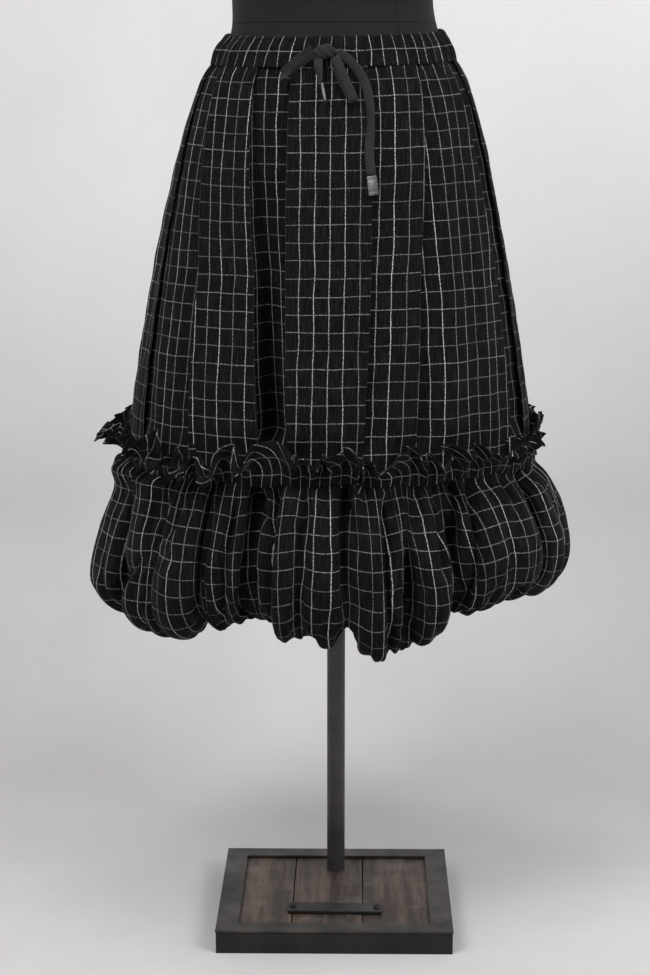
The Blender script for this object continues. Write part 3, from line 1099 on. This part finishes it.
def frill_half(name, first_angle, node):
    columns = int(TIER_CLOTH / CLOTH_GRID) + 1
    base_angle = np.linspace(first_angle, first_angle + 180, columns)[:, None]
    rise = np.linspace(0, 1, FRILL_LINES)[None]
    wave = base_angle / 360 * FRILL_WAVES
    ends = np.minimum(base_angle - first_angle, first_angle + 180 - base_angle)
    free = ease(ends, 0, 2.5)
    wave = wave + free * (0.36 * np.sin(1.31 * wave) + 0.2 * np.sin(2.9 * wave + 2))
    turn = 2 * np.pi * wave
    ripple = np.sin(turn) + 0.28 * np.sin(2 * turn + 1.1 * np.sin(0.7 * wave))
    root_lean = 22 + 13 * ripple
    edge_lean = 34 + 12 * np.sin(0.9 * wave + 1) + (24 + 8 * np.sin(1.7 * wave)) * ripple
    longer = 2 * np.sin(1.7 * wave) + np.zeros(base_angle.shape)
    for at, spread, bend, length in FLOPS:
        near = np.exp(-(((base_angle - at) / spread) ** 2))
        edge_lean = edge_lean + bend * near
        longer = longer + length * near
    beside = ease(np.abs(np.sin(np.radians(base_angle))), 0.86, 0.99)
    right_side = ease(np.sin(np.radians(base_angle)), 0.82, 0.97)
    edge_lean = edge_lean * (1 - 0.32 * beside - 0.34 * right_side)
    root_lean = root_lean * (1 - 0.4 * beside)
    lean = np.radians(root_lean + (edge_lean - root_lean) * rise**1.4)
    piece_of = (FRILL_HIGH + longer) / (FRILL_LINES - 1)
    out, up = (np.concatenate([np.zeros(base_angle.shape), np.cumsum(way(lean[:, 1:]) * piece_of, axis=1)], axis=1)
               for way in (np.sin, np.cos))
    root = 0.9 * np.sin(2.6 * turn + 1.5 * np.sin(wave)) * np.exp(-rise * 6)
    sway = 5.2 * np.sin(2 * turn + 2.2 * np.sin(0.5 * wave)) * rise**1.2 + 5.0 * np.sin(0.8 * wave + 2) * rise**2
    angle = base_angle + free * sway / millimetres_per_degree(base_angle, TIER_SEAM + 0 * base_angle)
    height = TIER_SEAM + up
    clear = 2.4 + seam_dip(base_angle) * (1 - 0.6 * rise)
    out = np.maximum(out, -1.0 + 4.0 * rise) + clear + root
    sizes = [smooth_column(SKIRT_SECTIONS, column, height) for column in (1, 2, 3)]
    points = on_ellipse(*sizes, angle, height, out)
    points = (points + seam_wander(base_angle + 0 * rise, points) * (1 - rise**0.5)[..., None])[:, ::-1]
    points = spread_evenly(points)
    weft = np.repeat(np.linspace(0, TIER_CLOTH, columns)[:, None], FRILL_LINES, axis=1)
    warp = 407 + ((FRILL_HIGH + longer) * rise)[:, ::-1]
    cloth_place = np.stack([weft, warp], axis=-1) * MM
    piece = keep_mesh(name, cloth_mesh(name, points * MM, cloth_place), CLOTH, "checked_cloth", node)
    numbers = grid_numbers(columns, FRILL_LINES)
    ends_low = numbers[[0, -1], FRILL_LINES // 2:]
    settle(piece, np.concatenate([numbers[:, -1], ends_low.ravel()]), frames=12, gravity=0.45)
    stay_outside(piece)
    return piece


frill_front = frill_half("skirt_frill_front", -90, "frill_front")
frill_back = frill_half("skirt_frill_back", 90, "frill_back")

# %% [markdown]
# ## How the cloth is cut
# Each length of cloth is declared with the size it had on the cutting table.

print("seven sheets are declared")

# %% [markdown]
# ## The dress form
# The form is a hollow bust under tight jersey. A circle of points is extruded upwards from
# ellipse to ellipse, and a smooth table between the measured heights keeps it from showing
# steps. Its cover is cut in panels, whose seams are thin cords laid just on the surface.

# %% Form
FORM_SECTIONS = np.array([  # height, half width, half depth, centre x, centre y
    (790, 138, 106, -3, 0), (793, 145, 113, -3, 0), (800, 152, 120, -3, 0), (850, 162, 128, -3, 0),
    (910, 158, 123, -3, 0), (960, 149, 114, -2.5, 0), (1000, 140, 106, -2, 0), (1020, 132.5, 99.5, -2, 0),
    (1032, 126.5, 94.9, -1.5, 0), (1040, 121.9, 91.6, -1.5, 0), (1056, 117.4, 90, -3, 0),
    (1082, 115.5, 89, -5, 0), (1110, 117, 91, -4, -2), (1160, 127, 103, -3, -8), (1215, 139, 118, -2, -14),
    (1255, 145, 122, -2, -14), (1310, 148, 110, -2, -6), (1360, 160, 94, -2, 2), (1395, 166, 82, -2, 6),
    (1420, 148, 74, -2, 8), (1438, 108, 66, -2, 9), (1452, 72, 58, -2, 10), (1466, 58, 54, -2, 11),
    (1500, 54, 52, -2, 12),
], float)
FORM_SIDES, FORM_RINGS = 128, 130


def on_form(angle, height, outwards=0.0):
    half_width, half_depth, centre_x, centre_y = (smooth_column(FORM_SECTIONS, k, height) for k in range(1, 5))
    points = on_ellipse(half_width, half_depth, centre_x, angle, height, outwards)
    points[..., 1] += centre_y
    return points


def rings_up(rings, close=True):
    """A bmesh that starts as a circle and is extruded through rings of points."""
    bm = bmesh.new()
    verts = bmesh.ops.create_circle(bm, segments=len(rings[0]), radius=1)["verts"]
    edges = bm.edges[:]
    if close:
        bmesh.ops.contextual_create(bm, geom=edges)
    for number, ring in enumerate(rings):
        if number:
            grown = bmesh.ops.extrude_edge_only(bm, edges=edges)["geom"]
            verts = [item for item in grown if isinstance(item, bmesh.types.BMVert)]
            kept = set(verts)
            edges = [item for item in grown if isinstance(item, bmesh.types.BMEdge)
                     and item.verts[0] in kept and item.verts[1] in kept]
        for vert, point in zip(verts, ring):
            vert.co = Vector(point)
    if close:
        bmesh.ops.contextual_create(bm, geom=edges)
    return bm


def torso():
    angles = -np.linspace(0, 360, FORM_SIDES, endpoint=False)
    heights = np.linspace(790, 1500, FORM_RINGS)
    rings = [on_form(angles, np.full(FORM_SIDES, height)) * MM for height in heights]
    return keep_bmesh("form_cover", rings_up(rings), JERSEY, "form_jersey", "torso")


form = torso()
print("form:", len(form.data.polygons), "faces")


# %% Seams of the cover
SEAM_CORD = 0.7 * MM
PANEL_SEAMS = [  # name, and the angle at these heights
    ("front_left", (-36, -38, -46, -44, -30)), ("front_right", (36, 38, 46, 44, 30)),
    ("side_left", (-90, -90, -90, -90, -90)), ("side_right", (90, 90, 90, 90, 90)),
    ("back_left", (-146, -144, -142, -140, -150)), ("back_right", (146, 144, 142, 140, 150)),
    ("back_centre", (180, 180, 180, 180, 180)),
]
SEAM_HEIGHTS = (800, 1060, 1160, 1250, 1440)


def seam_cord(name, points):
    """A thin round cord on the surface, as a bevelled curve turned to a mesh."""
    curve = bpy.data.curves.new(name, "CURVE")
    curve.dimensions = "3D"
    curve.bevel_depth = SEAM_CORD
    curve.bevel_resolution = 2
    curve.use_fill_caps = True
    line = curve.splines.new("POLY")
    line.points.add(len(points) - 1)
    for point, place in zip(line.points, points):
        point.co = (*place, 1)
    holder = bpy.data.objects.new(name, curve)
    bpy.context.scene.collection.objects.link(holder)
    bpy.context.view_layer.update()
    mesh = bpy.data.meshes.new_from_object(holder.evaluated_get(bpy.context.evaluated_depsgraph_get()))
    bpy.data.objects.remove(holder)
    mesh.shade_smooth()
    return keep_mesh(name, mesh, JERSEY, "form_jersey")


for name, seam_angles in PANEL_SEAMS:
    heights = np.linspace(SEAM_HEIGHTS[0], SEAM_HEIGHTS[-1], 90)
    angles = np.interp(heights, SEAM_HEIGHTS, seam_angles)
    seam_cord("form_seam_" + name, on_form(angles, heights) * MM)
waist_turn = np.linspace(0, 360, 121)
seam_cord("form_seam_waist", on_form(waist_turn, np.full(121, 1057.0)) * MM)
print("the cover has", len(PANEL_SEAMS) + 1, "seams")

# %% [markdown]
# ## Cap and pole
# The neck is closed by a flat lacquered cap with a rounded edge, and the pole is a steel tube.
# Both are circles extruded through a few rings, with rounded edges given by the rings.

# %% Cap and pole
CAP_LOW, CAP_HIGH, CAP_OVER = 1500.3, 1508.3, 2.0
POLE_RADIUS = 11.0
POLE_LOW, POLE_HIGH = 5.3, 789.7


def neck_cap():
    angles = -np.linspace(0, 360, 96, endpoint=False)
    steps = [(CAP_LOW, 0.6), (CAP_LOW + 0.4, CAP_OVER), (CAP_HIGH - 2.4, CAP_OVER), (CAP_HIGH - 1.2, CAP_OVER - 0.5),
             (CAP_HIGH - 0.35, CAP_OVER - 1.6), (CAP_HIGH, CAP_OVER - 3.2), (CAP_HIGH, -30.0)]
    rings = []
    for height, over in steps:
        ring = on_form(angles, np.full(96, 1500.0), over)
        ring[:, 2] = height
        rings.append(ring * MM)
    return keep_bmesh("form_neck_cap", rings_up(rings), POLE_PAINT, "pole_black", "neck_cap")


def pole():
    angles = -np.radians(np.linspace(0, 360, 64, endpoint=False))
    steps = [(POLE_LOW, POLE_RADIUS - 0.6), (POLE_LOW + 0.6, POLE_RADIUS), (POLE_HIGH - 0.6, POLE_RADIUS),
             (POLE_HIGH, POLE_RADIUS - 0.6)]
    rings = [np.column_stack([radius * np.sin(angles), -radius * np.cos(angles), np.full(64, height)]) * MM
             for height, radius in steps]
    return keep_bmesh("pole_tube", rings_up(rings), POLE_PAINT, "pole_black", "pole")


for piece in (neck_cap(), pole()):
    crease = piece.modifiers.new("soft_edges", "BEVEL")
    crease.width = 0.2 * MM
    crease.segments = 2
    crease.limit_method = "ANGLE"
    print(piece.name, [round(x, 3) for x in piece.dimensions])

# %% [markdown]
# ## The base
# A steel tray holds three planks, and a flat frame of four mitred bars lies on it. The frame
# is a square face, inset by the bars' width: insetting makes the four mitred bars in one step.
# Their shared corners are then split, so that each bar gets its own bevel and the mitres show.

# %% Base frame and tray
BASE_HALF = 137.5
BASE_FRONT, BASE_BACK = -212.0, 63.0
BASE_HIGH, BASE_PLATE, BASE_RIM, BASE_WALL, BASE_FLOOR = 28.0, 2.7, 26.0, 12.0, 5.0
SEAM = 0.3


def rectangle(low_x, low_y, high_x, high_y, height):
    """A bmesh with one level face."""
    bm = bmesh.new()
    bmesh.ops.create_grid(bm, x_segments=1, y_segments=1, size=0.5)
    for vert in bm.verts:
        vert.co = Vector((
            low_x if vert.co.x < 0 else high_x,
            low_y if vert.co.y < 0 else high_y,
            height,
        )) * MM
    return bm


def box(low, high, round_by, segments=3, cuts=0):
    """A block with rounded edges, in millimetres."""
    bm = bmesh.new()
    bmesh.ops.create_cube(bm, size=1)
    for vert in bm.verts:
        vert.co = Vector([low[k] if vert.co[k] < 0 else high[k] for k in range(3)]) * MM
    if cuts:
        long_edges = [e for e in bm.edges if abs(e.verts[0].co.y - e.verts[1].co.y) > 0.02]
        bmesh.ops.subdivide_edges(bm, edges=long_edges, cuts=cuts)
    sharp = [e for e in bm.edges if len(e.link_faces) == 2 and e.calc_face_angle() > 0.5]
    bmesh.ops.bevel(bm, geom=sharp, offset=round_by * MM, segments=segments, profile=0.5, affect="EDGES",
                    material=-1, clamp_overlap=True)
    return bm


def base_frame():
    low = BASE_HIGH - BASE_PLATE
    bm = rectangle(-BASE_HALF, BASE_FRONT, BASE_HALF, BASE_BACK, BASE_HIGH)
    bars = bmesh.ops.inset_region(bm, faces=bm.faces[:], thickness=BASE_RIM * MM, use_boundary=True,
                                  use_even_offset=True)["faces"]
    bmesh.ops.delete(bm, geom=[face for face in bm.faces if face not in bars], context="FACES_ONLY")
    mitres = [edge for edge in bm.edges if len(edge.link_faces) == 2]
    bmesh.ops.split_edges(bm, edges=mitres)
    bmesh.ops.solidify(bm, geom=bm.faces[:], thickness=(BASE_HIGH - low) * MM)
    bmesh.ops.recalc_face_normals(bm, faces=bm.faces)
    sharp = [edge for edge in bm.edges if len(edge.link_faces) == 2 and edge.calc_face_angle() > 0.5]
    bmesh.ops.bevel(bm, geom=sharp, offset=0.35 * MM, segments=3, profile=0.5, affect="EDGES", material=-1,
                    clamp_overlap=True)
    shift = BASE_HIGH * MM - max(vert.co.z for vert in bm.verts)
    bmesh.ops.translate(bm, verts=bm.verts, vec=(0, 0, shift))
    return keep_bmesh("base_frame_bars", bm, FRAME_STEEL, "base_steel", "base_frame", smooth=False)


def base_tray():
    inset = 0.7
    top = BASE_HIGH - BASE_PLATE - SEAM
    bm = box((-BASE_HALF + inset, BASE_FRONT + inset, 0), (BASE_HALF - inset, BASE_BACK - inset, top), 1.1)
    lid = max(bm.faces, key=lambda face: face.calc_center_median().z + face.calc_area())
    bmesh.ops.inset_region(bm, faces=[lid], thickness=(BASE_WALL - inset - 1.1) * MM, use_even_offset=True)
    bmesh.ops.translate(bm, verts=lid.verts, vec=(0, 0, (BASE_FLOOR - top) * MM))
    return keep_bmesh("base_tray_shell", bm, TRAY_STEEL, "base_steel", "base_tray", smooth=False)


for piece in (base_frame(), base_tray()):
    print(piece.name, [round(x, 4) for x in piece.dimensions])

# %% [markdown]
# ## Planks, plate and screws
# The planks are sawn boards with worn edges. A block is cut across its length, its edges
# bevelled, and its top points moved a little up and down, because old boards aren't flat. The
# name plate is a bare bar, held by two domed screws.

# %% Planks
PLANK_TOP = 24.2
PLANK_EDGES = [-BASE_HALF + BASE_WALL, -50, 33, BASE_HALF - BASE_WALL]


def plank(name, low_x, high_x, node):
    low = (low_x, BASE_FRONT + BASE_WALL + SEAM, BASE_FLOOR + SEAM)
    bm = box(low, (high_x, BASE_BACK - BASE_WALL - SEAM, PLANK_TOP), 0.9, 3, cuts=40)
    for vert in bm.verts:
        if vert.co.z > 0.015:
            x, y = vert.co.x / MM, vert.co.y / MM
            vert.co.z -= (0.25 + 0.15 * math.sin(y / 23 + x) + 0.1 * math.sin(y / 9 + x / 7)) * MM
            vert.co.x += 0.12 * math.sin(y / 17 + low_x) * MM
    return keep_bmesh(name, bm, WOOD, "base_wood", node, smooth=False)


for number, name in enumerate(("left", "middle", "right")):
    low_x = PLANK_EDGES[number] + (SEAM if number == 0 else 0.6)
    high_x = PLANK_EDGES[number + 1] - (SEAM if number == 2 else 0.6)
    board = plank("base_board_" + name, low_x, high_x, "plank_" + name)
    print(board.name, round(board.dimensions.x, 4), "wide")

# %% Plate and screws
PLATE_LONG, PLATE_DEEP, PLATE_THICK = 111.0, 28.0, 4.0
PLATE_Y, PLATE_TURN = -137.0, math.radians(-1.2)
SCREW_INSET = 6.0
PLATE_LOW = PLANK_TOP + SEAM


def plate_place():
    return Matrix.Translation((0, PLATE_Y * MM, 0)) @ Matrix.Rotation(PLATE_TURN, 4, "Z")


def bare_plate():
    bm = box((-PLATE_LONG / 2, -PLATE_DEEP / 2, PLATE_LOW), (PLATE_LONG / 2, PLATE_DEEP / 2, PLATE_LOW + PLATE_THICK),
             0.7, 3)
    bmesh.ops.transform(bm, matrix=plate_place(), verts=bm.verts)
    return keep_bmesh("name_plate_bare", bm, TRAY_STEEL, "base_steel", "bare_plate", smooth=False)


def screw(name, side, node):
    """A domed head with a cross slot, pressed from a sphere's cap."""
    bm = bmesh.new()
    bmesh.ops.create_uvsphere(bm, u_segments=32, v_segments=16, radius=1)
    centre_x = side * (PLATE_LONG / 2 - SCREW_INSET)
    low = PLATE_LOW + PLATE_THICK + SEAM
    for vert in bm.verts:
        slot_here = min(abs(vert.co.x), abs(vert.co.y)) < 0.16 and math.hypot(vert.co.x, vert.co.y) < 0.62
        rise = max(vert.co.z, 0) * 2.8 - (0.9 if slot_here and vert.co.z > 0 else 0)
        vert.co = Vector((centre_x + vert.co.x * 4, vert.co.y * 4, low + rise)) * MM
    bmesh.ops.transform(bm, matrix=plate_place(), verts=bm.verts)
    bmesh.ops.remove_doubles(bm, verts=bm.verts, dist=1e-6)
    return keep_bmesh(name, bm, TRAY_STEEL, "base_steel", node)


for piece in (bare_plate(), screw("plate_screw_head_left", -1, "plate_screw_left"),
              screw("plate_screw_head_right", 1, "plate_screw_right")):
    print(piece.name, [round(x, 4) for x in piece.dimensions])

# %% [markdown]
# ## Studio
# A pale floor sweeps up into a wall close behind the stand, so that there is no hard corner.
# The sweep is clear from behind, so that the skirt's back can be looked at too.
# Two large soft lights stand in front, the left one stronger, and the sky fills the rest.

# %% Stage and lights
SWEEP_Y, SWEEP_RADIUS, SWEEP_HALF = 0.42, 0.35, 6.0


def sweep():
    """A wide grid bent along a profile from floor to wall, its faces towards the stand."""
    bm = bmesh.new()
    turns = [SWEEP_RADIUS * (1 - math.cos(t)) for t in np.linspace(0, math.pi / 2, 24)]
    reach = [SWEEP_RADIUS * math.sin(t) for t in np.linspace(0, math.pi / 2, 24)]
    profile = [(-6.0, 0.0)] + [(SWEEP_Y + along, up) for along, up in zip(reach, turns)]
    profile += [(SWEEP_Y + SWEEP_RADIUS, 6.0)]
    bmesh.ops.create_grid(bm, x_segments=1, y_segments=len(profile) - 1, size=1)
    for vert in bm.verts:
        y, z = profile[round((vert.co.y + 1) / 2 * (len(profile) - 1))]
        vert.co = Vector((SWEEP_HALF * vert.co.x, y, z))
    mesh = bpy.data.meshes.new("studio_sweep")
    bm.to_mesh(mesh)
    bm.free()
    mesh.shade_smooth()
    piece = bpy.data.objects.new("studio_sweep", mesh)
    bpy.context.scene.collection.objects.link(piece)
    return piece


def plaster():
    material, tree, shader = new_material("pale_plaster")
    place = object_place(tree)
    cloudy = noise(tree, place, 3.0, 5.0, 0.6)
    high = between(tree, step(tree, "SeparateXYZ", None, Vector=place).outputs[2], -0.1, 0.85)
    low_tone = blend_colours(tree, between(tree, cloudy, 0.3, 0.7), (0.52, 0.505, 0.505, 1), (0.56, 0.545, 0.545, 1))
    high_tone = blend_colours(tree, between(tree, cloudy, 0.3, 0.7), (0.68, 0.67, 0.675, 1), (0.72, 0.71, 0.715, 1))
    colour = blend_colours(tree, high, low_tone, high_tone)
    tree.links.new(colour, shader.inputs["Base Color"])
    tree.links.new(bump(tree, cloudy, 0.004, 0.3), shader.inputs["Normal"])
    shader.inputs["Roughness"].default_value = 0.95
    shader.inputs["Specular IOR Level"].default_value = 0.1
    output = next(node for node in tree.nodes if node.type == "OUTPUT_MATERIAL")
    behind, clear = step(tree, "NewGeometry"), step(tree, "BsdfTransparent")
    one_sided = step(tree, "MixShader", in_0=behind.outputs["Backfacing"], in_1=shader.outputs[0],
                     in_2=clear.outputs[0])
    tree.links.new(one_sided.outputs[0], output.inputs["Surface"])
    return material


def soft_light(name, place, aim, size, power):
    light = bpy.data.lights.new(name, "AREA")
    light.shape = "RECTANGLE"
    light.size, light.size_y = size
    light.energy = power
    holder = bpy.data.objects.new(name, light)
    bpy.context.scene.collection.objects.link(holder)
    holder.location = place
    holder.rotation_euler = (Vector(aim) - Vector(place)).to_track_quat("-Z", "Y").to_euler()


backdrop = sweep()
backdrop.data.materials.append(plaster())
soft_light("key_left", (-1.9, -2.3, 3.6), (0, 0, 0.7), (1.8, 1.8), 96)
soft_light("fill_right", (2.4, -2.0, 2.8), (0.4, 0.4, 0.8), (2.0, 2.0), 84)
soft_light("top", (0.1, -0.6, 3.3), (0.1, 0, 0.5), (2.6, 1.4), 32)

world = bpy.data.worlds.new("studio_air")
bpy.context.scene.world = world
world.use_nodes = True
world.node_tree.nodes["Background"].inputs[0].default_value = (1.0, 0.99, 0.985, 1)
world.node_tree.nodes["Background"].inputs[1].default_value = 0.24
bpy.context.scene.view_settings.view_transform = "Standard"
print("three soft lights and a pale sweep")
